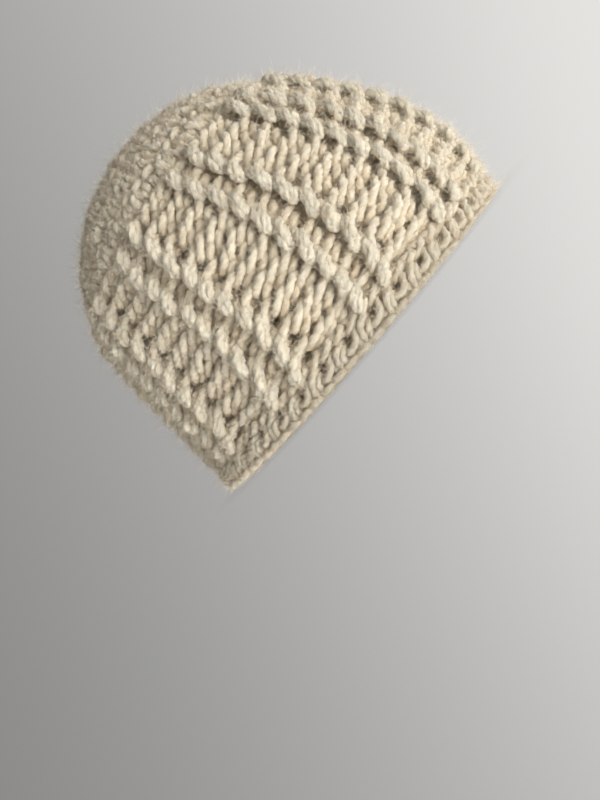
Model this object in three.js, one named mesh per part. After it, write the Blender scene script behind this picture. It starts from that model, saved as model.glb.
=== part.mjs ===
// A chunky crocheted beanie, worked from the crown down in joined rounds of thick wool.
// Each mesh is one round of stitches, as a closed ring of fabric. Millimetres, +Z up through
// the crown, forehead towards -Y, nape towards +Y, rim in the plane z = 0.
import * as THREE from 'three';

// Driving dimensions.
const insideLength = 188; // forehead to nape, inside the rim
const insideWidth = 156; // ear to ear, inside the rim
const insideHeight = 147; // rim to the inside of the crown
const fabricThickness = 8; // plain crochet fabric
const ribRise = 4; // how far a raised rib stands above the plain fabric
const gapBetweenRounds = 0.4;

// How the dome departs from a plain ellipsoid.
const domeSquareness = 2.4; // 2 is an ellipsoid, more is boxier
const crownSetBack = 13.5; // the crown's centre lies this far behind the middle of the rim
const forwardLean = 5.2; // the wall bulges this far over the forehead, and the crown as far back
const leanWavelength = 1.16 * insideHeight;
const waistDepth = 0.02; // the wall draws in by this fraction just above the brim
const waistHeight = 20;
const waistSpread = 9;

// How the rounds are worked.
const crownStitches = [11, 22, 33, 44, 55];
const ribbedRounds = 10;
const brimRounds = 2;
const ribPairs = 11; // pairs of raised ribs round the hat, five stitches to each pair
const firstPairAngle = THREE.MathUtils.degToRad(191.8);
const ribPairWidth = 0.285; // from one rib of a pair to the other, as a part of a repeat

// Heights of the rounds along the fabric, from the rim up.
const edgeHeight = 3.5;
const brimRoundHeight = 6;
const ribbedRoundHeight = 10.4;
const ringRadius = 8; // the drawn-up ring of yarn at the crown's centre
const ringHoleRadius = 2;

// Detail of the solids.
const profileSteps = 2000;
const plainSegments = 48;
const ringSegments = 24;
const normalProbe = 0.2;
const sectionCorners = 5;
const bulge = 1.2; // each round is a soft roll, thicker at its middle than at its joins
const edgeThickness = 6;

const halfLength = insideLength / 2;
const halfWidth = insideWidth / 2;

function profileRadius(angle) {
  return Math.max(Math.cos(angle), 0) ** (2 / domeSquareness);
}

function profileHeight(angle) {
  return Math.sin(angle) ** (2 / domeSquareness);
}

// Distance along the fabric, up the side of the dome, at equal steps of the profile's angle.
function measureProfile() {
  const lengths = [0];
  for (let step = 1; step <= profileSteps; step += 1) {
    const before = ((step - 1) / profileSteps) * (Math.PI / 2);
    const after = (step / profileSteps) * (Math.PI / 2);
    const across = halfWidth * (profileRadius(before) - profileRadius(after));
    const up = insideHeight * (profileHeight(after) - profileHeight(before));
    lengths.push(lengths[step - 1] + Math.hypot(across, up));
  }
  return lengths;
}

const profileLengths = measureProfile();
const rimToCrown = profileLengths[profileSteps];

function profileAngle(distance) {
  let step = 1;
  while (step < profileSteps && profileLengths[step] < distance) {
    step += 1;
  }
  const before = profileLengths[step - 1];
  const part = (distance - before) / (profileLengths[step] - before);
  return ((step - 1 + part) / profileSteps) * (Math.PI / 2);
}

// A point on the inside of the fabric: angle is measured round the crown from +X,
// and distance is measured along the fabric from the rim.
function insidePoint(angle, distance) {
  const radius = profileRadius(profileAngle(distance));
  const setBack = crownSetBack * (1 - radius ** 2) ** 2;
  const x = halfWidth * radius * Math.cos(angle);
  const y = halfLength * radius * Math.sin(angle) + setBack;
  const spread = Math.min(Math.hypot(x / halfWidth, y / halfLength), 1);
  const z = insideHeight * (1 - spread ** domeSquareness) ** (1 / domeSquareness);
  const waist = 1 - waistDepth * Math.exp(-(((z - waistHeight) / waistSpread) ** 2));
  const lean = -forwardLean * Math.sin((2 * Math.PI * z) / leanWavelength);
  return new THREE.Vector3(x * waist, y * waist + lean, z);
}

function outwardNormal(angle, distance) {
  const reach = normalProbe / halfWidth;
  const low = Math.max(distance - normalProbe, 0);
  const high = Math.min(distance + normalProbe, rimToCrown - normalProbe);
  const along = insidePoint(angle + reach, distance).sub(insidePoint(angle - reach, distance));
  const up = insidePoint(angle, high).sub(insidePoint(angle, low));
  return along.cross(up).normalize();
}

function fabricPoint(angle, distance, offset) {
  return insidePoint(angle, distance).addScaledVector(outwardNormal(angle, distance), offset);
}

// The closed ring of one round. angles go once round the crown, thicknessAt(angle index) is the
// fabric's thickness there, and the section is a rectangle with a bulge on its outer side.
function roundGeometry(bottom, top, angles, thicknessAt) {
  const low = bottom + gapBetweenRounds / 2;
  const high = top - gapBetweenRounds / 2;
  const middle = (low + high) / 2;
  const positions = [];
  angles.forEach((angle, index) => {
    const thickness = thicknessAt(index);
    const section = [
      fabricPoint(angle, low, 0),
      fabricPoint(angle, low, thickness),
      fabricPoint(angle, middle, thickness + bulge),
      fabricPoint(angle, high, thickness),
      fabricPoint(angle, high, 0),
    ];
    section.forEach((point) => positions.push(point.x, point.y, point.z));
  });
  return ringGeometry(positions, angles.length);
}

// Joins equal sections into a ring that closes on itself.
function ringGeometry(positions, sections) {
  const indices = [];
  for (let section = 0; section < sections; section += 1) {
    const here = section * sectionCorners;
    const next = ((section + 1) % sections) * sectionCorners;
    for (let corner = 0; corner < sectionCorners; corner += 1) {
      const after = (corner + 1) % sectionCorners;
      indices.push(here + corner, next + corner, next + after);
      indices.push(here + corner, next + after, here + after);
    }
  }
  const geometry = new THREE.BufferGeometry();
  geometry.setAttribute('position', new THREE.Float32BufferAttribute(positions, 3));
  geometry.setIndex(indices);
  geometry.computeVertexNormals();
  return geometry;
}

function evenAngles(count) {
  return Array.from({ length: count }, (_, index) => (index / count) * 2 * Math.PI);
}

// One repeat of a ribbed round: a rib, the groove inside the pair, the other rib, then the
// plain panel. Each entry is a place in the repeat and how much of the rib's rise it has.
const panelWidth = 1 - ribPairWidth;
const repeatShape = [
  [0, 1],
  [ribPairWidth / 2, 0.35],
  [ribPairWidth, 1],
  [ribPairWidth + panelWidth / 4, 0],
  [ribPairWidth + panelWidth / 2, 0],
  [ribPairWidth + (panelWidth * 3) / 4, 0],
];

function ribbedRoundGeometry(bottom, top) {
  const angles = [];
  const rises = [];
  for (let pair = 0; pair < ribPairs; pair += 1) {
    repeatShape.forEach(([place, rise]) => {
      const turns = (pair + place - ribPairWidth / 2) / ribPairs;
      angles.push(firstPairAngle + turns * 2 * Math.PI);
      rises.push(rise * ribRise);
    });
  }
  return roundGeometry(bottom, top, angles, (index) => fabricThickness + rises[index]);
}

function plainRoundGeometry(bottom, top, segments) {
  return roundGeometry(bottom, top, evenAngles(segments), () => fabricThickness);
}

// The edge is a chain of slip stitches, flat underneath where the hat stands.
function edgeGeometry() {
  const angles = evenAngles(plainSegments);
  const geometry = roundGeometry(-gapBetweenRounds / 2, edgeHeight, angles, () => edgeThickness);
  const position = geometry.getAttribute('position');
  for (let vertex = 0; vertex < position.count; vertex += sectionCorners) {
    position.setZ(vertex, 0);
    position.setZ(vertex + 1, 0);
  }
  geometry.computeVertexNormals();
  return geometry;
}

function woolMaterial(colour) {
  return new THREE.MeshStandardMaterial({ color: colour, roughness: 0.95, metalness: 0 });
}

const ribWool = woolMaterial(0xe3d8c0);
const plainWool = woolMaterial(0xd9ccb0);

const beanie = new THREE.Group();

function addRound(name, geometry, material) {
  const mesh = new THREE.Mesh(geometry, material);
  mesh.name = name;
  beanie.add(mesh);
}

let height = edgeHeight;
addRound('edge_chain', edgeGeometry(), plainWool);

for (let round = 1; round <= brimRounds; round += 1) {
  const top = height + brimRoundHeight;
  addRound(`brim_round_${round}`, plainRoundGeometry(height, top, plainSegments), plainWool);
  height = top;
}

for (let round = 1; round <= ribbedRounds; round += 1) {
  const top = height + ribbedRoundHeight;
  const name = `ribbed_round_${String(round).padStart(2, '0')}`;
  addRound(name, ribbedRoundGeometry(height, top), ribWool);
  height = top;
}

const crownRoundHeight = (rimToCrown - ringRadius - height) / crownStitches.length;
for (let round = crownStitches.length; round >= 1; round -= 1) {
  const top = height + crownRoundHeight;
  const stitches = crownStitches[round - 1];
  const segments = Math.max(stitches, ringSegments);
  addRound(`crown_round_${round}`, plainRoundGeometry(height, top, segments), plainWool);
  height = top;
}

const ringTop = rimToCrown - ringHoleRadius;
addRound('crown_ring', plainRoundGeometry(height, ringTop, ringSegments), plainWool);

// The origin lies under the middle of the whole hat.
const middle = new THREE.Box3().setFromObject(beanie).getCenter(new THREE.Vector3());
beanie.position.set(-middle.x, -middle.y, 0);

export default beanie;
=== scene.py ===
"""A chunky crocheted beanie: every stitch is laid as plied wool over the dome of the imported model.

Each round of stitches is one piece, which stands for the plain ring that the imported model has
there. Lengths are millimetres, except in shaders' settings and on the stage, where Blender
takes metres.
"""

import math

import bpy
import numpy as np
from mathutils import Matrix, Vector


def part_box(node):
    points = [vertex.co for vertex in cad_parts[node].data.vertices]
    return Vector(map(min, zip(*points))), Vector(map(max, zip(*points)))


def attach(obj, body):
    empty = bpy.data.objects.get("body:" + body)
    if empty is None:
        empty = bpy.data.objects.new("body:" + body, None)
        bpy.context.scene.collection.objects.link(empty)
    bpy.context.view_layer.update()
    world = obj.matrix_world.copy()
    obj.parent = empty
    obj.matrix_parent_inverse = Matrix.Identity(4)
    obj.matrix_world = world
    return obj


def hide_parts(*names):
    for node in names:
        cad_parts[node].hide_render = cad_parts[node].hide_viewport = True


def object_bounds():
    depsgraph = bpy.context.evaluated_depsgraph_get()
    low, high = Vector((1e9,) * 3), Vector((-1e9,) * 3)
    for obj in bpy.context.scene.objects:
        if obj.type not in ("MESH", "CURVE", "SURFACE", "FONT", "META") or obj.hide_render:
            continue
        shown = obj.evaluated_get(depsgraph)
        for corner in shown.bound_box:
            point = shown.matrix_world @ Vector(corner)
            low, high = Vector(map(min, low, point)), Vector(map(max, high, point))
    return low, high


METRES = 0.001
FULL_TURN = 2 * math.pi

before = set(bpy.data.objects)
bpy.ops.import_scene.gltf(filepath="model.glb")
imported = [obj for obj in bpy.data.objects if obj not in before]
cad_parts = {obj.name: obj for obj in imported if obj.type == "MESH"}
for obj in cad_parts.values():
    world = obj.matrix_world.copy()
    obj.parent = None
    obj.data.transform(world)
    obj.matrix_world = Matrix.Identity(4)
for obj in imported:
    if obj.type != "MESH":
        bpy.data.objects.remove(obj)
cad_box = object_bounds()


# ---------------------------------------------------------------- the dome

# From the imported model's outermost points to the inside of the fabric.
EDGE_DEPTH = 7.15
CROWN_DEPTH = 9.17

# How the dome departs from a plain ellipsoid.
DOME_SQUARENESS = 2.4  # 2 is an ellipsoid, more is boxier
CROWN_SET_BACK = 13.5  # the crown's centre lies this far behind the middle of the rim
FORWARD_LEAN = 5.2  # the wall bulges this far over the forehead, and the crown as far back
LEAN_WAVE = 1.16  # length of the lean's wave, in heights of the dome
WAIST_DEPTH = 0.02  # the wall draws in by this fraction just above the brim
WAIST_HEIGHT = 20.0
WAIST_SPREAD = 9.0

PROFILE_STEPS = 2000
NORMAL_PROBE = 0.2  # length of the steps that find which way the fabric faces
CROWN_MARGIN = 4 * NORMAL_PROBE  # how far these steps keep from the crown's centre
SMALLEST_LENGTH = 1e-9  # keeps a vector of no length from dividing by zero

rim_low, rim_high = (np.array(corner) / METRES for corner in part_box("edge_chain"))
middle = (rim_low + rim_high) / 2
half_width = (rim_high[0] - rim_low[0]) / 2 - EDGE_DEPTH
half_length = (rim_high[1] - rim_low[1]) / 2 - EDGE_DEPTH
inside_height = cad_box[1][2] / METRES - CROWN_DEPTH
lean_wavelength = LEAN_WAVE * inside_height

# The distance along the fabric, up the side of the dome, at equal steps of the profile's angle.
profile_angles = np.linspace(0, math.pi / 2, PROFILE_STEPS + 1)
profile_radii = np.maximum(np.cos(profile_angles), 0) ** (2 / DOME_SQUARENESS)
profile_heights = np.sin(profile_angles) ** (2 / DOME_SQUARENESS)
profile_steps = np.hypot(half_width * np.diff(profile_radii), inside_height * np.diff(profile_heights))
profile_lengths = np.concatenate([[0], np.cumsum(profile_steps)])
rim_to_crown = profile_lengths[-1]


def inside_points(angle, distance):
    """Points on the inside of the fabric, at an angle round the crown from +X and a distance
    up the fabric from the rim."""
    slope = np.interp(distance, profile_lengths, profile_angles)
    radius = np.maximum(np.cos(slope), 0) ** (2 / DOME_SQUARENESS)
    set_back = CROWN_SET_BACK * (1 - radius**2) ** 2
    x = half_width * radius * np.cos(angle)
    y = half_length * radius * np.sin(angle) + set_back
    spread = np.minimum(np.hypot(x / half_width, y / half_length), 1)
    z = inside_height * (1 - spread**DOME_SQUARENESS) ** (1 / DOME_SQUARENESS)
    waist = 1 - WAIST_DEPTH * np.exp(-(((z - WAIST_HEIGHT) / WAIST_SPREAD) ** 2))
    lean = -FORWARD_LEAN * np.sin(FULL_TURN * z / lean_wavelength)
    return np.stack([x * waist + middle[0], y * waist + lean + middle[1], z], axis=-1)


def unit(vectors):
    length = np.linalg.norm(vectors, axis=-1, keepdims=True)
    return vectors / np.maximum(length, SMALLEST_LENGTH)


def outward_normals(angle, distance):
    reach = NORMAL_PROBE / half_width
    low = np.clip(distance - NORMAL_PROBE, 0, rim_to_crown - CROWN_MARGIN)
    high = low + 2 * NORMAL_PROBE
    along = inside_points(angle + reach, distance) - inside_points(angle - reach, distance)
    up = inside_points(angle, high) - inside_points(angle, low)
    return unit(np.cross(along, up))


# ---------------------------------------------------------------- the rounds

RIB_PAIRS = 11  # pairs of raised ribs round the hat
REPEAT_ANGLE = FULL_TURN / RIB_PAIRS
REPEAT_WIDTH = 60.0  # width of a repeat as the stitches count it, in steps of about 0.9 mm
FIRST_PAIR_ANGLE = math.radians(191.8)
RIB_PAIR_WIDTH = 0.30  # from one rib of a pair to the other, as a part of a repeat
RIB_SPACING = RIB_PAIR_WIDTH * REPEAT_WIDTH

EDGE_HEIGHT = 3.5
BRIM_ROUND_HEIGHT = 6.0
RIBBED_ROUND_HEIGHT = 10.4
BRIM_ROUNDS = 2
RIBBED_ROUNDS = 10
CROWN_ROUNDS = 5
RING_RADIUS = 8.0  # the drawn-up ring of yarn at the crown's centre

ribbing_start = EDGE_HEIGHT + BRIM_ROUNDS * BRIM_ROUND_HEIGHT
ribbing_end = ribbing_start + RIBBED_ROUNDS * RIBBED_ROUND_HEIGHT
crown_round_height = (rim_to_crown - RING_RADIUS - ribbing_end) / CROWN_ROUNDS

# Each round draws its small irregularities from a seed of its own.
RIBBED_SEED = 20
EDGE_SEED = 60
BRIM_1_SEED = 61
BRIM_2_SEED = 62
CROWN_SEED = 70
RING_SEED = 80
FUZZ_SEED = 120


# ---------------------------------------------------------------- gathering meshes


def mesh_from_arrays(name, points, quads, triangles):
    mesh = bpy.data.meshes.new(name)
    mesh.vertices.add(len(points))
    mesh.vertices.foreach_set("co", points.astype(np.float32).ravel())
    corners = np.concatenate([quads.ravel(), triangles.ravel()]).astype(np.int32)
    starts = np.concatenate([np.arange(len(quads)) * 4, quads.size + np.arange(len(triangles)) * 3])
    mesh.loops.add(len(corners))
    mesh.loops.foreach_set("vertex_index", corners)
    mesh.polygons.add(len(starts))
    mesh.polygons.foreach_set("loop_start", starts.astype(np.int32))
    mesh.update(calc_edges=True)
    mesh.polygons.foreach_set("use_smooth", np.ones(len(starts), bool))
    mesh.validate()
    return mesh


class Shells:
    """Closed shells, such as tubes and spikes, that are gathered into one mesh."""

    def __init__(self):
        self.points = []
        self.quads = []
        self.triangles = []
        self.count = 0

    def add(self, points, quads, triangles):
        """Adds like shells. points has a row for each shell, and the faces are those of one shell."""
        shells, size = points.shape[:2]
        starts = self.count + np.arange(shells)[:, None, None] * size
        self.points.append(points.reshape(-1, 3))
        self.quads.append((quads[None] + starts).reshape(-1, 4))
        self.triangles.append((triangles[None] + starts).reshape(-1, 3))
        self.count += shells * size

    def piece(self, name):
        points = np.concatenate(self.points) * METRES
        mesh = mesh_from_arrays(name, points, np.concatenate(self.quads), np.concatenate(self.triangles))
        piece = bpy.data.objects.new(name, mesh)
        bpy.context.scene.collection.objects.link(piece)
        return piece


def tube_walls(rings, sides):
    """The quads between rings of sides points each."""
    corner = np.arange(sides)
    after = (corner + 1) % sides
    row = np.arange(rings - 1)[:, None] * sides
    walls = [row + corner, row + after, row + sides + after, row + sides + corner]
    return np.stack(walls, -1).reshape(-1, 4)


def fan(corners, tip):
    """Triangles from each corner to the next and on to the tip, all the way round."""
    return np.stack([corners, np.roll(corners, -1), np.full(len(corners), tip)], -1)


# ---------------------------------------------------------------- yarn

YARN_RADIUS = 2.15
PLIES = 3
PLY_PROFILE = (1.0, 0.2, 0.0, 0.2)  # how much of the groove each side of a ply has
PLY_GROOVE = 0.21  # depth of the groove between two plies, as a part of the yarn's radius
PLY_TURN = 13.0  # length of one turn of the plies
END_TAPER = 1.6  # length over which the end of a strand narrows
BLUNT_END = 0.06  # square of the thickness that is left at the very end
YARN_ROUGHNESS = 0.035  # how far the surface strays, as a part of the radius
TEXTURE_SPREAD = 100.0  # how far apart two strands may lie in the wool's texture
YARN_STEP = 1.05  # from ring to ring of a strand on the outside of the hat
HIDDEN_STEP = 3.0  # and of a strand on the inside

# A strand is thick and thin by turns. Each wave: size, length, and how far a strand's random
# start shifts it.
THICK_AND_THIN = ((0.08, 6.1, 3), (0.05, 2.7, 7))

# Hand-worked rounds are uneven. Each wave: size, number round the hat, and the rise up the
# fabric over which it shifts by a radian.
UNEVEN_FROM = 24.0  # the waves have their full size from this distance above the rim
SIDEWAYS_WAVES = ((0.006, 8, 11), (0.004, 21, -3))  # sizes in radians
UPWARD_WAVES = ((0.8, 6, 13), (0.5, 17, 7))

SIDES = PLIES * len(PLY_PROFILE)
section_radius = 1 - PLY_GROOVE * np.array(PLY_PROFILE * PLIES)
section_angle = np.arange(SIDES) * FULL_TURN / SIDES

# What a row of a yarn's surface holds: a point, the ways away from and along the yarn there,
# its height above the inside of the fabric, and how far the surface faces outwards.
POINT = slice(0, 3)
AWAY = slice(3, 6)
ALONG = slice(6, 9)
HEIGHT = 9
FACING = 10


def smooth_path(controls, pace):
    """Catmull-Rom curves through controls (strands, places, values), in steps of about pace."""
    before = 2 * controls[:, :1] - controls[:, 1:2]
    after = 2 * controls[:, -1:] - controls[:, -2:-1]
    padded = np.concatenate([before, controls, after], axis=1)
    spans = np.linalg.norm(np.diff(controls[..., :3], axis=1), axis=-1).mean(axis=0)
    parts = []
    for place, span in enumerate(spans):
        count = max(int(round(span / pace)), 1)
        t = (np.arange(count) / count)[None, :, None]
        a, b, c, d = (padded[:, place + k, None, :] for k in range(4))
        curve = 2 * b + (c - a) * t + (2 * a - 5 * b + 4 * c - d) * t**2 + (3 * b - a - 3 * c + d) * t**3
        parts.append(curve / 2)
    parts.append(controls[:, -1:])
    return np.concatenate(parts, axis=1)


def square_to(direction, vectors):
    """Unit vectors across direction, as near as they can be to vectors."""
    return unit(vectors - (vectors * direction).sum(-1, keepdims=True) * direction)


def carried_frames(path, hint):
    """Two unit vectors across each path, carried along it without twisting."""
    tangent = unit(np.gradient(path, axis=1))
    side = np.empty_like(path)
    side[:, 0] = square_to(tangent[:, 0], hint)
    for step in range(1, path.shape[1]):
        side[:, step] = square_to(tangent[:, step], side[:, step - 1])
    return side, np.cross(tangent, side)


def turned(turn, side, across):
    """Directions across each path: turn is measured from side towards across."""
    return np.cos(turn)[..., None] * side[:, :, None] + np.sin(turn)[..., None] * across[:, :, None]


def lengths_along(path):
    pace = np.linalg.norm(np.diff(path, axis=1), axis=-1)
    return np.concatenate([np.zeros((len(path), 1)), np.cumsum(pace, axis=1)], axis=1)


def slow_waves(waves, angle, distance):
    return sum(size * np.sin(count * angle + distance / rise) for size, count, rise in waves)


def by_hand(angle, distance):
    """Shifts places on the fabric a little, as hand work does."""
    ease = np.clip(distance / UNEVEN_FROM, 0, 1)
    sideways = slow_waves(SIDEWAYS_WAVES, angle, distance)
    upwards = slow_waves(UPWARD_WAVES, angle, distance)
    return angle + sideways * ease, distance + upwards * ease


def strand_thickness(radius, along, to_end, start):
    """The yarn's radius along each strand: thick and thin by turns, and narrow at both ends."""
    taper = np.sqrt(np.clip(1 - (1 - np.minimum(to_end / END_TAPER, 1)) ** 2, BLUNT_END, 1))
    lumps = sum(
        size * np.sin(along * FULL_TURN / length + start * turns)
        for size, length, turns in THICK_AND_THIN
    )
    return radius * taper * (1 + lumps)


def with_ends(rings, ends):
    """For each strand, a row for each point of its rings, then one for each of its two ends."""
    width = rings.shape[-1]
    return np.concatenate([rings.reshape(len(rings), -1, width), ends], axis=1)


class Yarn:
    """Tubes of plied yarn that are gathered into one mesh."""

    def __init__(self, seed):
        self.random = np.random.default_rng(seed)
        self.shells = Shells()
        self.fibre = []
        self.height = []
        self.surface = []

    def lay(self, angle, distance, out, thickness=1.0, pace=YARN_STEP):
        """Lays strands whose places on the fabric are given by arrays (strands, places)."""
        angle, distance = by_hand(angle, distance)
        normal = outward_normals(angle, distance)
        centre = inside_points(angle, distance) + normal * out[..., None]
        controls = np.concatenate([centre, normal, out[..., None]], axis=-1)
        self.sweep(smooth_path(controls, pace), YARN_RADIUS * thickness)

    def sweep(self, samples, radius):
        """Sweeps the plied section along paths whose samples are place, outward normal, height."""
        path = samples[..., :3]
        path[..., 2] = np.maximum(path[..., 2], 0)
        outward = unit(samples[..., 3:6])
        side, across = carried_frames(path, outward[:, 0])
        along = lengths_along(path)
        to_end = np.minimum(along, along[:, -1:] - along)
        start = self.random.uniform(0, FULL_TURN, (len(path), 1))
        thick = strand_thickness(radius, along, to_end, start)
        turn = (start + along * FULL_TURN / PLY_TURN)[..., None] + section_angle
        direction = turned(turn, side, across)
        rough = 1 + self.random.normal(0, YARN_ROUGHNESS, turn.shape)
        reach = thick[..., None] * section_radius * rough
        tube = path[:, :, None] + direction * reach[..., None]
        tube[..., 2] = np.maximum(tube[..., 2], 0)
        facing = (direction * outward[:, :, None]).sum(-1)
        height = samples[..., 6:] + facing * reach
        self.add_tubes(tube, path, along / radius, height)
        tangent = np.broadcast_to(unit(np.gradient(path, axis=1))[:, :, None], tube.shape)
        surface = np.concatenate([tube, direction, tangent, height[..., None], facing[..., None]], -1)
        self.surface.append(surface[to_end > END_TAPER].reshape(-1, surface.shape[-1]))

    def add_tubes(self, tube, path, along, height):
        """Adds a closed tube for each strand, with a fan of triangles round a point at each end."""
        rings = path.shape[1]
        ring = np.arange(SIDES)
        last_ring = (rings - 1) * SIDES
        first_end = rings * SIDES
        caps = np.concatenate([fan(ring[::-1], first_end), fan(last_ring + ring, first_end + 1)])
        self.shells.add(with_ends(tube, path[:, [0, -1]]), tube_walls(rings, SIDES), caps)
        self.fibre.append(self.fibre_places(along, height.shape))
        self.height.append(with_ends(height[..., None], height[:, [0, -1], :1]).ravel())

    def fibre_places(self, along, shape):
        """Places in the wool's texture: two values across the section, and one along the yarn."""
        offset = self.random.uniform(0, TEXTURE_SPREAD, (shape[0], 1, 1))
        across = [np.cos(section_angle), np.sin(section_angle)]
        values = [*across, along[..., None] + offset]
        places = np.stack([np.broadcast_to(value, shape) for value in values], axis=-1)
        ends = places[:, [0, -1], 0] * np.array([0, 0, 1])
        return with_ends(places, ends).reshape(-1, 3)

    def piece(self, name):
        piece = self.shells.piece(name)
        fibre = piece.data.attributes.new("fibre", "FLOAT_VECTOR", "POINT")
        fibre.data.foreach_set("vector", np.concatenate(self.fibre).astype(np.float32).ravel())
        height = piece.data.attributes.new("height", "FLOAT", "POINT")
        height.data.foreach_set("value", np.concatenate(self.height).astype(np.float32))
        return piece


# ---------------------------------------------------------------- loose fibres

FIBRE_RADIUS = 0.055
FIBRE_SIDES = 3
FIBRE_TAPER = 0.5  # part of its thickness that a fibre loses towards its tip
FIBRE_ROOT = 0.2  # how deep a fibre starts inside the yarn
FIBRE_SLANT = (0.2, 1.0)  # how far fibres lean along the yarn, as a slope
FIBRE_STRAY = 0.35  # how far they stray from that
FIBRE_BEND = (0.2, 0.8)  # how far a tip bends away, as a part of the length
BEND_OUTWARDS = 0.3  # how much of a bend is turned away from the yarn
FUZZ_FLOOR = 5.0  # fibres start above this height over the inside of the fabric
FUZZ_FACING = -0.2  # and where the yarn faces outwards at least this much
GOLDEN_SHARE = 0.4  # part of the fibres that have the second tone

# Short and long fibres: fibres for each point of the yarn's surface, straight parts in each,
# shortest and longest, and how steeply they rise from the yarn.
FIBRE_KINDS = ((0.80, 1, 1.0, 3.0, 0.45), (0.13, 2, 2.5, 9.0, 0.6))


def fibre_paths(random, root, parts, shortest, longest, rise):
    """Curved paths of fibres that start on the yarn at root and lean along it."""
    number = len(root)
    base, away, along = root[:, POINT], root[:, AWAY], root[:, ALONG]
    sign = random.choice([-1.0, 1.0], (number, 1))
    slant = random.uniform(*FIBRE_SLANT, (number, 1))
    stray = random.normal(0, FIBRE_STRAY, (number, 3))
    first = unit(away * rise + along * sign * slant + stray)
    sideways = unit(random.normal(0, 1, (number, 3)) + away * BEND_OUTWARDS)
    bend = sideways * random.uniform(*FIBRE_BEND, (number, 1))
    length = random.uniform(shortest, longest, (number, 1))
    t = np.arange(parts + 1)[None, :, None] / parts
    reach = length[:, None] * (first[:, None] * t + bend[:, None] * t**2)
    return base[:, None] - away[:, None] * FIBRE_ROOT + reach


def spike_points(path, away):
    """Rings round each place of a fibre but the last, which is its tip."""
    number, places = path.shape[:2]
    side, across = carried_frames(path, away)
    turn = np.arange(FIBRE_SIDES) * FULL_TURN / FIBRE_SIDES
    t = np.arange(places)[:, None, None] / (places - 1)
    thick = FIBRE_RADIUS * (1 - FIBRE_TAPER * t)
    path[..., 2] = np.maximum(path[..., 2], FIBRE_RADIUS)
    rings = path[:, :, None] + turned(turn, side, across) * thick
    return np.concatenate([rings[:, :-1].reshape(number, -1, 3), path[:, -1:]], axis=1)


def fuzz(yarn, name, seed):
    """Loose fibres that stand off the yarn, as thin closed spikes in two tones."""
    random = np.random.default_rng(seed)
    surface = np.concatenate(yarn.surface)
    open_air = surface[(surface[:, HEIGHT] > FUZZ_FLOOR) & (surface[:, FACING] > FUZZ_FACING)]
    shells = Shells()
    quad_tones, triangle_tones = [], []
    for share, parts, shortest, longest, rise in FIBRE_KINDS:
        number = int(share * len(surface))
        root = open_air[random.integers(0, len(open_air), number)]
        path = fibre_paths(random, root, parts, shortest, longest, rise)
        spikes = spike_points(path, root[:, AWAY])
        walls = tube_walls(parts, FIBRE_SIDES)
        ring = np.arange(FIBRE_SIDES)
        last_ring = (parts - 1) * FIBRE_SIDES
        ends = np.concatenate([fan(last_ring + ring, parts * FIBRE_SIDES), ring[None, ::-1]])
        shells.add(spikes, walls, ends)
        golden = (random.random(number) < GOLDEN_SHARE).astype(np.int32)
        quad_tones.append(np.repeat(golden, len(walls)))
        triangle_tones.append(np.repeat(golden, len(ends)))
    piece = shells.piece(name)
    piece.data.polygons.foreach_set("material_index", np.concatenate(quad_tones + triangle_tones))
    return piece


# ---------------------------------------------------------------- laying stitches

# One strand of a stitch is a list of places: steps across to the right, of about a millimetre
# each, then millimetres up from the foot of the round and out from the inside of the fabric.

JITTER = 0.38  # how far a stitch strays from its place, where its round has no value of its own
WOBBLE_SHARE = 0.5  # how far one place strays from its stitch, as a part of the jitter
LOWEST_OUT = 1.2  # yarn stays this far out from the inside of the fabric


def lay_stitches(
    yarn, template, angles, foot, width, jitter=JITTER, thickness=1.0, height=1.0, pace=YARN_STEP
):
    """Lays one strand at each angle. width is the angle of one step across, and height stretches
    the strand upwards."""
    places = np.array(template)
    shift = yarn.random.normal(0, jitter, (len(angles), 1, 3))
    wobble = yarn.random.normal(0, jitter * WOBBLE_SHARE, (len(angles), len(places), 3))
    moved = places[None] + shift + wobble
    angle = angles[:, None] + moved[..., 0] * width
    distance = foot + moved[..., 1] * height
    yarn.lay(angle, distance, np.maximum(moved[..., 2], LOWEST_OUT), thickness, pace)


def lay_behind(yarn, template, angles, foot, width, places, height=1.0):
    """Lays coarse strands on the inside of the hat, at each of the places across."""
    for across in places:
        moved = angles + across * width
        lay_stitches(yarn, template, moved, foot, width, height=height, pace=HIDDEN_STEP)


def stitches_round(count, offset=0.0):
    return FIRST_PAIR_ANGLE + (np.arange(count) + offset) * FULL_TURN / count


# ---------------------------------------------------------------- ribbed rounds

RIB_KNOB = [
    (5.5, 7.6, 4.0), (4.5, 6.4, 7.4), (1.7, 1.9, 10.9), (-0.3, -1.4, 11.8), (-2.7, -3.3, 10.2),
    (-2.4, -0.4, 12.0), (-0.3, 3.1, 12.0), (2.6, 7.8, 8.6), (3.8, 9.6, 4.6),
]
RIB_CORE = [
    (-2.5, -2.9, 7.0), (-1.5, -1.1, 11.4), (0.6, 2.2, 12.6), (2.8, 5.6, 10.4), (4.4, 7.8, 5.0),
]
RIB_TAIL = [
    (1.4, 1.2, 8.0), (3.4, 3.9, 9.6), (5.6, 5.9, 9.8), (8.6, 7.0, 8.8), (12.0, 7.9, 7.8),
    (14.6, 8.6, 5.0),
]
RIB_LINK = [
    (2.0, 4.4, 5.0), (4.8, 5.9, 7.6), (8.2, 6.9, 8.0), (11.6, 7.6, 7.4), (14.4, 8.4, 5.0),
]
RIB_UNDER = [
    (3.2, -0.6, 3.0), (5.6, 0.6, 5.6), (8.8, 2.0, 6.4), (11.8, 3.0, 5.4), (13.6, 3.4, 3.4),
]
RIB_THICKNESS = 1.08

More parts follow.
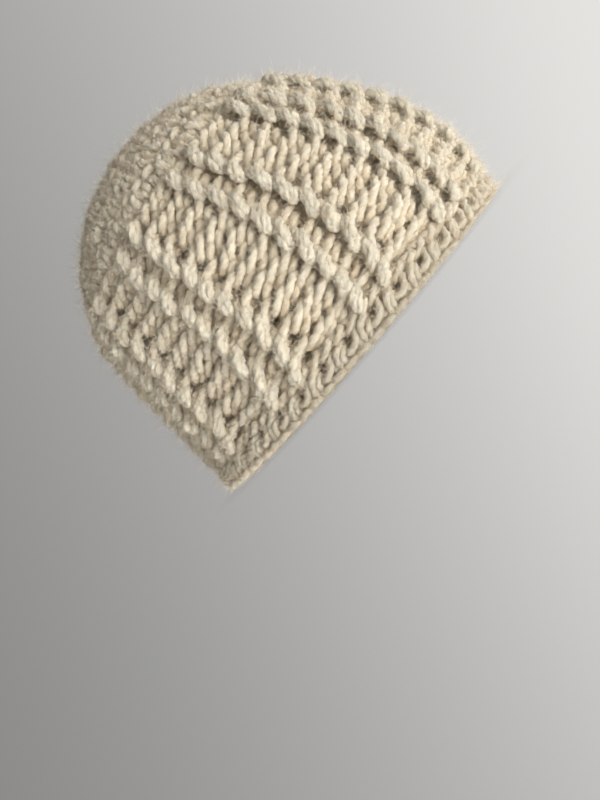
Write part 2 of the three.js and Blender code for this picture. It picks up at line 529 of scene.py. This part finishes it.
TOP_LINK = [
    (-3.5, 3.4, 4.5), (-1.0, 4.1, 7.0), (2.5, 5.2, 8.8), (6.0, 6.6, 9.0), (9.0, 7.8, 7.8),
    (11.5, 8.6, 5.0),
]
UNDER_LOOP = [
    (-2.0, -0.8, 3.2), (0.5, 0.3, 5.8), (3.6, 1.7, 6.8), (6.6, 3.0, 6.2), (9.2, 3.9, 3.8),
]
PANEL_STITCHES = 3
PANEL_PITCH = 8.5
PANEL_START = RIB_SPACING + 12.2  # from the first rib of a pair, past the second one

BACK_POST = [
    (0.0, -2.0, 1.8), (0.4, 2.0, 2.2), (-0.3, 6.0, 2.0), (0.0, 10.5, 1.8),
]
BACK_POST_PLACES = (-4.5, -1.0, 2.5, 9.5, 13.0, 16.5, 20.0, 29.5, 33.5, 37.5, 41.5, 45.5, 49.5, 53.0)
BACK_BAR = [
    (-1.0, 5.0, 2.8), (5.0, 5.6, 3.4), (11.0, 5.2, 2.8),
]
BACK_BAR_PITCH = 10.0
BACK_BAR_RISE = 3.4  # from the lower row of bars to the upper one


def ribbed_round(number):
    """Pairs of raised ribs, the strands that link them, and the slanting stitches between pairs."""
    yarn = Yarn(RIBBED_SEED + number)
    foot = ribbing_start + (number - 1) * RIBBED_ROUND_HEIGHT
    width = REPEAT_ANGLE / REPEAT_WIDTH
    first = FIRST_PAIR_ANGLE + (np.arange(RIB_PAIRS) - RIB_PAIR_WIDTH / 2) * REPEAT_ANGLE
    second = first + RIB_SPACING * width
    for rib, leading in ((first, RIB_LINK), (second, RIB_TAIL)):
        lay_stitches(yarn, RIB_CORE, rib, foot, width, thickness=RIB_THICKNESS)
        lay_stitches(yarn, RIB_KNOB, rib, foot, width, thickness=RIB_THICKNESS)
        lay_stitches(yarn, leading, rib, foot, width)
    lay_stitches(yarn, RIB_UNDER, first, foot, width)
    for stitch in range(PANEL_STITCHES):
        angles = first + (PANEL_START + stitch * PANEL_PITCH) * width
        lay_stitches(yarn, TOP_LINK, angles, foot, width)
        lay_stitches(yarn, UNDER_LOOP, angles, foot, width)
    lay_behind(yarn, BACK_POST, first, foot, width, BACK_POST_PLACES)
    for across in np.arange(0, REPEAT_WIDTH, BACK_BAR_PITCH):
        for rise in (0, BACK_BAR_RISE):
            lay_behind(yarn, BACK_BAR, first, foot + rise, width, [across])
    return yarn


# ---------------------------------------------------------------- the brim and the edge

BRIM_PITCH = 8.2
BRIM_THICKNESS = 0.84
BRIM_JITTER = 0.25
STEEP_LEG = [
    (1.0, 0.6, 4.0), (-0.4, 2.2, 7.4), (-0.6, 5.0, 9.4), (0.9, 8.0, 9.6), (4.2, 9.6, 8.4),
    (6.6, 9.8, 5.0),
]
SECOND_LEG = [
    (4.2, 0.8, 4.0), (2.4, 2.4, 7.4), (2.2, 5.0, 9.2), (3.8, 7.0, 9.0), (6.4, 8.0, 6.4),
]
HANGING_LOOP = [
    (3.6, 7.2, 5.0), (5.4, 5.4, 8.0), (8.6, 4.9, 9.4), (12.0, 6.4, 9.4), (14.2, 9.4, 8.0),
    (14.6, 11.6, 5.0),
]
FAN_FOOT = [
    (14.8, 8.6, 5.0), (13.2, 6.6, 7.6), (13.0, 4.0, 8.0), (14.6, 1.8, 5.0),
]
BRIM_POST = [
    (0.0, 1.0, 2.2), (0.3, 4.0, 3.0), (0.0, 9.0, 3.0),
]
BRIM_POST_PLACES = (0.5, 3.0, 6.0, 10.5, 12.5, 15.0)

CHAIN_LINK = [
    (-1.0, 0.2, 4.6), (1.0, 0.4, 7.6), (4.0, 1.6, 8.8), (7.0, 3.2, 8.2), (8.6, 3.8, 5.5),
]
CHAIN_UNDER = [
    (-0.6, 4.2, 4.6), (1.6, 3.4, 7.0), (4.6, 2.6, 7.4), (7.4, 1.6, 7.2), (9.0, 1.0, 4.6),
]
CHAIN_POST = [
    (0.0, -1.0, 1.9), (0.3, 3.0, 2.1), (0.0, 6.5, 1.9),
]
CHAIN_POST_PLACES = (1.5, 5.5)
CHAIN_OFFSET = 0.3  # how far the chain's stitches are turned against the brim's, in stitches
CHAIN_LIFT = 0.8  # the chain lies this far above the foot of its round

EDGE_OUTER = [
    (-1.0, 2.6, 5.6), (1.2, 1.9, 8.4), (4.1, 1.6, 9.4), (7.0, 1.9, 8.2), (9.2, 2.8, 5.6),
]
EDGE_INNER = [
    (-1.0, 1.8, 2.0), (2.0, 1.7, 2.6), (5.0, 1.8, 2.4), (9.2, 1.8, 1.8),
]
EDGE_THICKNESS = 0.86
EDGE_OUTER_JITTER = 0.15
EDGE_INNER_JITTER = 0.10

# Brim stitches are worked in twos, so their number is even.
brim_pairs = int(round(RIB_PAIRS * REPEAT_WIDTH / BRIM_PITCH / 2))
brim_stitches = 2 * brim_pairs
brim_width = FULL_TURN / brim_stitches / BRIM_PITCH


def edge_chain():
    yarn = Yarn(EDGE_SEED)
    angles = stitches_round(brim_stitches)
    for template, jitter in ((EDGE_OUTER, EDGE_OUTER_JITTER), (EDGE_INNER, EDGE_INNER_JITTER)):
        lay_stitches(yarn, template, angles, 0.0, brim_width, jitter, EDGE_THICKNESS)
    return yarn


def brim_round_1():
    """A row of fans: each has two legs, and a loop that hangs between it and the next."""
    yarn = Yarn(BRIM_1_SEED)
    pairs = stitches_round(brim_pairs)
    for template in (STEEP_LEG, SECOND_LEG, HANGING_LOOP, FAN_FOOT):
        lay_stitches(yarn, template, pairs, 0.0, brim_width, BRIM_JITTER, BRIM_THICKNESS)
    lay_behind(yarn, BRIM_POST, pairs, 0.0, brim_width, BRIM_POST_PLACES)
    return yarn


def brim_round_2():
    """A chain of links that lean to and fro."""
    yarn = Yarn(BRIM_2_SEED)
    angles = stitches_round(brim_stitches, CHAIN_OFFSET)
    foot = EDGE_HEIGHT + BRIM_ROUND_HEIGHT + CHAIN_LIFT
    for template in (CHAIN_LINK, CHAIN_UNDER):
        lay_stitches(yarn, template, angles, foot, brim_width, BRIM_JITTER, BRIM_THICKNESS)
    lay_behind(yarn, CHAIN_POST, angles, foot, brim_width, CHAIN_POST_PLACES)
    return yarn


# ---------------------------------------------------------------- the crown

CROWN_LEFT_LEG = [
    (3.4, -1.2, 4.0), (2.4, 0.6, 7.2), (0.8, 3.2, 8.6), (0.2, 5.6, 7.6), (0.6, 7.2, 4.5),
]
CROWN_RIGHT_LEG = [
    (4.0, -0.8, 4.0), (4.6, 1.2, 7.0), (5.6, 3.8, 8.2), (6.8, 6.0, 7.4), (7.4, 7.6, 4.5),
]
CROWN_TOP = [
    (-1.6, 5.4, 4.5), (0.6, 6.6, 7.4), (3.6, 7.6, 8.4), (6.6, 8.4, 7.4), (8.8, 8.8, 4.5),
]
CROWN_POST_PLACES = (1.0, 5.0)
CROWN_JITTER = 0.5
CROWN_THICKNESS = 1.1
CROWN_OFFSET = 0.13  # each round is turned by this much against the one inside it, in stitches

RING_TURNS = ((RING_RADIUS - 1.5, 5.5), (RING_RADIUS - 3.5, 4.0))  # radius, distance out
RING_SWEEP = 2.1 * math.pi  # a little more than once round, so that the ends overlap
RING_PLACES = 40


def crown_round(number):
    """Plain stitches: eleven more in each round down from the crown."""
    yarn = Yarn(CROWN_SEED + number)
    count = RIB_PAIRS * number
    foot = ribbing_end + (CROWN_ROUNDS - number) * crown_round_height
    width = FULL_TURN / count / PANEL_PITCH
    height = crown_round_height / RIBBED_ROUND_HEIGHT
    angles = stitches_round(count, CROWN_OFFSET * number)
    for template in (CROWN_LEFT_LEG, CROWN_RIGHT_LEG, CROWN_TOP, UNDER_LOOP):
        lay_stitches(yarn, template, angles, foot, width, CROWN_JITTER, CROWN_THICKNESS, height)
    lay_behind(yarn, BACK_POST, angles, foot, width, CROWN_POST_PLACES, height)
    return yarn


def crown_ring():
    """The drawn-up ring at the centre, as two turns of yarn, each begun a radian after the last."""
    yarn = Yarn(RING_SEED)
    for turn, (radius, out) in enumerate(RING_TURNS):
        angle = np.linspace(0, RING_SWEEP, RING_PLACES)[None] + turn
        distance = np.full_like(angle, rim_to_crown - radius)
        yarn.lay(angle, distance, np.full_like(angle, out))
    return yarn


# ---------------------------------------------------------------- materials

WOOL_SHADER = {
    "Roughness": 0.95,
    "Specular IOR Level": 0.15,
    "Sheen Weight": 0.25,
    "Sheen Roughness": 0.6,
    "Sheen Tint": (1.0, 0.96, 0.88, 1),
    "Subsurface Weight": 0.3,
    "Subsurface Radius": (1.0, 0.85, 0.7),
    "Subsurface Scale": 0.0015,
}
# Painted shade: yarn lying low, near the inside of the fabric, takes the warm brown crevice colour, and
# yarn raised high takes the cream one. It stands in for the light that bounces and fades deep in the
# wool.
CREVICE_SHADE_COLOUR = (0.93, 0.76, 0.54, 1)
CREVICE_SHADE_HEIGHT = 5.0  # over the inside of the fabric
RAISED_COLOUR = (0.85, 0.78, 0.64, 1)
RAISED_HEIGHT = 11.0

# Fine streaks that run along the yarn, in places of its texture.
STREAK_STRETCH = (4.0, 4.0, 0.7)
STREAK_NOISE = {"Scale": 2.2, "Detail": 4.0}
STREAK_SHADE = {"From Min": 0.3, "From Max": 0.7, "To Min": 0.76, "To Max": 1.12}
STREAK_BUMP = {"Strength": 1.0, "Distance": 0.0009}

FUZZ_SHADER = {"Roughness": 0.9, "Specular IOR Level": 0.1}
FUZZ_TONES = {"pale_fuzz": (0.93, 0.87, 0.75, 1), "golden_fuzz": (0.72, 0.56, 0.36, 1)}


class Nodes:
    """Short calls for the nodes of a material or a world."""

    def __init__(self, owner):
        self.tree = owner.node_tree

    def add(self, kind, inputs=None, **settings):
        node = self.tree.nodes.new(kind)
        for name, value in settings.items():
            setattr(node, name, value)
        for socket, value in (inputs or {}).items():
            node.inputs[socket].default_value = value
        return node

    def link(self, source, target):
        self.tree.links.new(source, target)


def new_material(name, values):
    """A material whose shader has these values on its own sockets."""
    material = bpy.data.materials.new(name)
    material.use_nodes = True
    shader = material.node_tree.nodes["Principled BSDF"]
    for socket, value in values.items():
        shader.inputs[socket].default_value = value
    return material, shader


def wool_material():
    """Cream wool, with painted shade that turns it warmer and browner in the crevices, and fine streaks
    and grooves along the yarn.
    """
    material, shader = new_material("wool_yarn", WOOL_SHADER)
    nodes = Nodes(material)
    # Painted shade: the colour warms to brown the lower the yarn lies in the crevices.
    height = nodes.add("ShaderNodeAttribute", attribute_name="height")
    raised = nodes.add("ShaderNodeMapRange", {"From Min": CREVICE_SHADE_HEIGHT, "From Max": RAISED_HEIGHT})
    nodes.link(height.outputs["Fac"], raised.inputs["Value"])
    tone = nodes.add("ShaderNodeMix", data_type="RGBA")
    tone.inputs["A"].default_value = CREVICE_SHADE_COLOUR
    tone.inputs["B"].default_value = RAISED_COLOUR
    nodes.link(raised.outputs["Result"], tone.inputs["Factor"])
    streaks = streak_noise(nodes)
    shade = nodes.add("ShaderNodeMapRange", STREAK_SHADE)
    nodes.link(streaks, shade.inputs["Value"])
    shaded = nodes.add("ShaderNodeMix", {"Factor": 1.0}, data_type="RGBA", blend_type="MULTIPLY")
    nodes.link(tone.outputs["Result"], shaded.inputs["A"])
    nodes.link(shade.outputs["Result"], shaded.inputs["B"])
    nodes.link(shaded.outputs["Result"], shader.inputs["Base Color"])
    bump = nodes.add("ShaderNodeBump", STREAK_BUMP)
    nodes.link(streaks, bump.inputs["Height"])
    nodes.link(bump.outputs["Normal"], shader.inputs["Normal"])
    return material


def streak_noise(nodes):
    fibre = nodes.add("ShaderNodeAttribute", attribute_name="fibre")
    stretch = nodes.add("ShaderNodeMapping", {"Scale": STREAK_STRETCH})
    nodes.link(fibre.outputs["Vector"], stretch.inputs["Vector"])
    streaks = nodes.add("ShaderNodeTexNoise", STREAK_NOISE)
    nodes.link(stretch.outputs["Vector"], streaks.inputs["Vector"])
    return streaks.outputs["Fac"]


def fuzz_material(name, colour):
    material, _ = new_material(name, {**FUZZ_SHADER, "Base Color": colour})
    return material


# ---------------------------------------------------------------- the hat


def all_rounds():
    """The yarn of every round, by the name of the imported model's ring that it stands for."""
    rounds = {"edge_chain": edge_chain(), "brim_round_1": brim_round_1(), "brim_round_2": brim_round_2()}
    for number in range(1, RIBBED_ROUNDS + 1):
        rounds[f"ribbed_round_{number:02d}"] = ribbed_round(number)
    for number in range(1, CROWN_ROUNDS + 1):
        rounds[f"crown_round_{number}"] = crown_round(number)
    rounds["crown_ring"] = crown_ring()
    return rounds


wool = wool_material()
fuzz_tones = [fuzz_material(name, colour) for name, colour in FUZZ_TONES.items()]

for index, (node, yarn) in enumerate(all_rounds().items()):
    stitches = yarn.piece(f"{node}_stitches")
    stitches.data.materials.append(wool)
    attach(stitches, "root")
    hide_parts(node)
    loose = fuzz(yarn, f"{node}_fuzz", FUZZ_SEED + index)
    for tone in fuzz_tones:
        loose.data.materials.append(tone)
    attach(loose, "root")


# ---------------------------------------------------------------- the stage, in metres

FLOOR_RADIUS = 1.2
FLOOR_CORNERS = 96
FLOOR_SHADER = {"Base Color": (0.72, 0.72, 0.71, 1), "Roughness": 0.9}
FLOOR_FADE = {"From Min": 0.05, "From Max": 0.13}

# The camera looks almost level from the wearer's right, and is rolled so that the hat tilts. Its
# place is counted from a point in the hat, and it stands aside of that and lower, so that the
# hat lies high in the frame.
AIM_FORWARDS_MM = 5.34  # from the middle of the rim towards the forehead
AIM_HEIGHT_MM = 70.0
CAMERA_AZIMUTH = math.radians(277.17)
CAMERA_ELEVATION = math.radians(2.60)
CAMERA_ROLL = math.radians(-49.44)
CAMERA_DISTANCE = 0.420
CAMERA_SIDESTEP = -0.04937
CAMERA_LIFT = -0.06538
CAMERA_NEAR = 0.001
LENS = 35.48
SENSOR_WIDTH = 36

LIGHT_AIM = (0, 0, 0.07)
WARM = (1.0, 0.97, 0.91)
NEUTRAL = (1.0, 0.99, 0.95)

# Soft round lights: place, width, power in watts and colour. The key light comes from below the
# rim and in front, the three fills soften it, and the last two light the back and the far side.
LIGHTS = {
    "key": ((-1.40, -0.95, -0.90), 1.2, 33, WARM),
    "soft_fill": ((-1.40, -0.45, -0.70), 1.4, 5, WARM),
    "side_fill": ((-1.45, -0.50, -0.20), 0.8, 4, NEUTRAL),
    "front_fill": ((-0.70, -1.50, 0.05), 1.0, 2, WARM),
    "back_fill": ((-0.90, 0.90, -1.20), 1.2, 13, WARM),
    "far_fill": ((1.50, -0.20, 0.15), 1.4, 20, WARM),
}

STUDIO_COLOUR = (1.0, 0.99, 0.965, 1)
STUDIO_STRENGTH = 0.42
STUDIO_GRADIENT = (0.22, -1.06, -0.50)  # the way the studio brightens, and how steeply
STUDIO_LIMIT = 0.80
STUDIO_LIMIT_SOFTNESS = 0.15


def floor_material():
    """A pale floor that fades out away from the hat, so that it has no edge and no horizon."""
    material, shader = new_material("pale_floor", FLOOR_SHADER)
    nodes = Nodes(material)
    place = nodes.add("ShaderNodeNewGeometry")
    distance = nodes.add("ShaderNodeVectorMath", operation="LENGTH")
    nodes.link(place.outputs["Position"], distance.inputs[0])
    fade = nodes.add("ShaderNodeMapRange", FLOOR_FADE, interpolation_type="SMOOTHERSTEP")
    nodes.link(distance.outputs["Value"], fade.inputs["Value"])
    clear = nodes.add("ShaderNodeBsdfTransparent")
    mixed = nodes.add("ShaderNodeMixShader")
    nodes.link(fade.outputs["Result"], mixed.inputs["Fac"])
    nodes.link(shader.outputs["BSDF"], mixed.inputs[1])
    nodes.link(clear.outputs["BSDF"], mixed.inputs[2])
    nodes.link(mixed.outputs["Shader"], material.node_tree.nodes["Material Output"].inputs["Surface"])
    return material


def add_floor():
    bpy.ops.mesh.primitive_circle_add(vertices=FLOOR_CORNERS, radius=FLOOR_RADIUS, fill_type="NGON")
    floor = bpy.context.active_object
    floor.name = "floor"
    floor.data.materials.append(floor_material())


def add_camera():
    level = math.cos(CAMERA_ELEVATION)
    back = Vector(
        (math.sin(CAMERA_AZIMUTH) * level, -math.cos(CAMERA_AZIMUTH) * level, math.sin(CAMERA_ELEVATION))
    )
    right = Vector((math.cos(CAMERA_AZIMUTH), math.sin(CAMERA_AZIMUTH), 0))
    up = back.cross(right)
    aim = Vector((middle[0], middle[1] - AIM_FORWARDS_MM, AIM_HEIGHT_MM)) * METRES
    place = aim + right * CAMERA_SIDESTEP + up * CAMERA_LIFT + back * CAMERA_DISTANCE
    rolled_right = right * math.cos(CAMERA_ROLL) + up * math.sin(CAMERA_ROLL)
    rolled_up = up * math.cos(CAMERA_ROLL) - right * math.sin(CAMERA_ROLL)
    data = bpy.data.cameras.new("camera")
    data.lens = LENS
    data.sensor_width = SENSOR_WIDTH
    data.clip_start = CAMERA_NEAR
    camera = bpy.data.objects.new("camera", data)
    bpy.context.scene.collection.objects.link(camera)
    rotation = Matrix((rolled_right, rolled_up, back)).transposed().to_4x4()
    camera.matrix_world = Matrix.Translation(place) @ rotation
    bpy.context.scene.camera = camera


def add_light(name, place, width, power, colour):
    data = bpy.data.lights.new(name, "AREA")
    data.shape = "DISK"
    data.size = width
    data.energy = power
    data.color = colour
    light = bpy.data.objects.new(name, data)
    bpy.context.scene.collection.objects.link(light)
    light.location = place
    light.visible_camera = False
    light.rotation_euler = (Vector(LIGHT_AIM) - Vector(place)).to_track_quat("-Z", "Y").to_euler()


def add_world():
    """A soft studio that is bright on the forehead's side and dims towards the nape."""
    world = bpy.data.worlds.new("studio")
    world.use_nodes = True
    nodes = Nodes(world)
    background = world.node_tree.nodes["Background"]
    background.inputs["Color"].default_value = STUDIO_COLOUR
    direction = nodes.add("ShaderNodeTexCoord")
    towards = nodes.add("ShaderNodeVectorMath", {1: STUDIO_GRADIENT}, operation="DOT_PRODUCT")
    nodes.link(direction.outputs["Generated"], towards.inputs[0])
    power = nodes.add("ShaderNodeMath", {0: math.e}, operation="POWER")
    nodes.link(towards.outputs["Value"], power.inputs[1])
    strength = nodes.add("ShaderNodeMath", {1: STUDIO_STRENGTH}, operation="MULTIPLY")
    nodes.link(power.outputs["Value"], strength.inputs[0])
    limit = {1: STUDIO_LIMIT, 2: STUDIO_LIMIT_SOFTNESS}
    limited = nodes.add("ShaderNodeMath", limit, operation="SMOOTH_MIN")
    nodes.link(strength.outputs["Value"], limited.inputs[0])
    nodes.link(limited.outputs["Value"], background.inputs["Strength"])
    bpy.context.scene.world = world


add_floor()
add_camera()
for name, light in LIGHTS.items():
    add_light(name, *light)
add_world()
bpy.context.scene.view_settings.view_transform = "Standard"
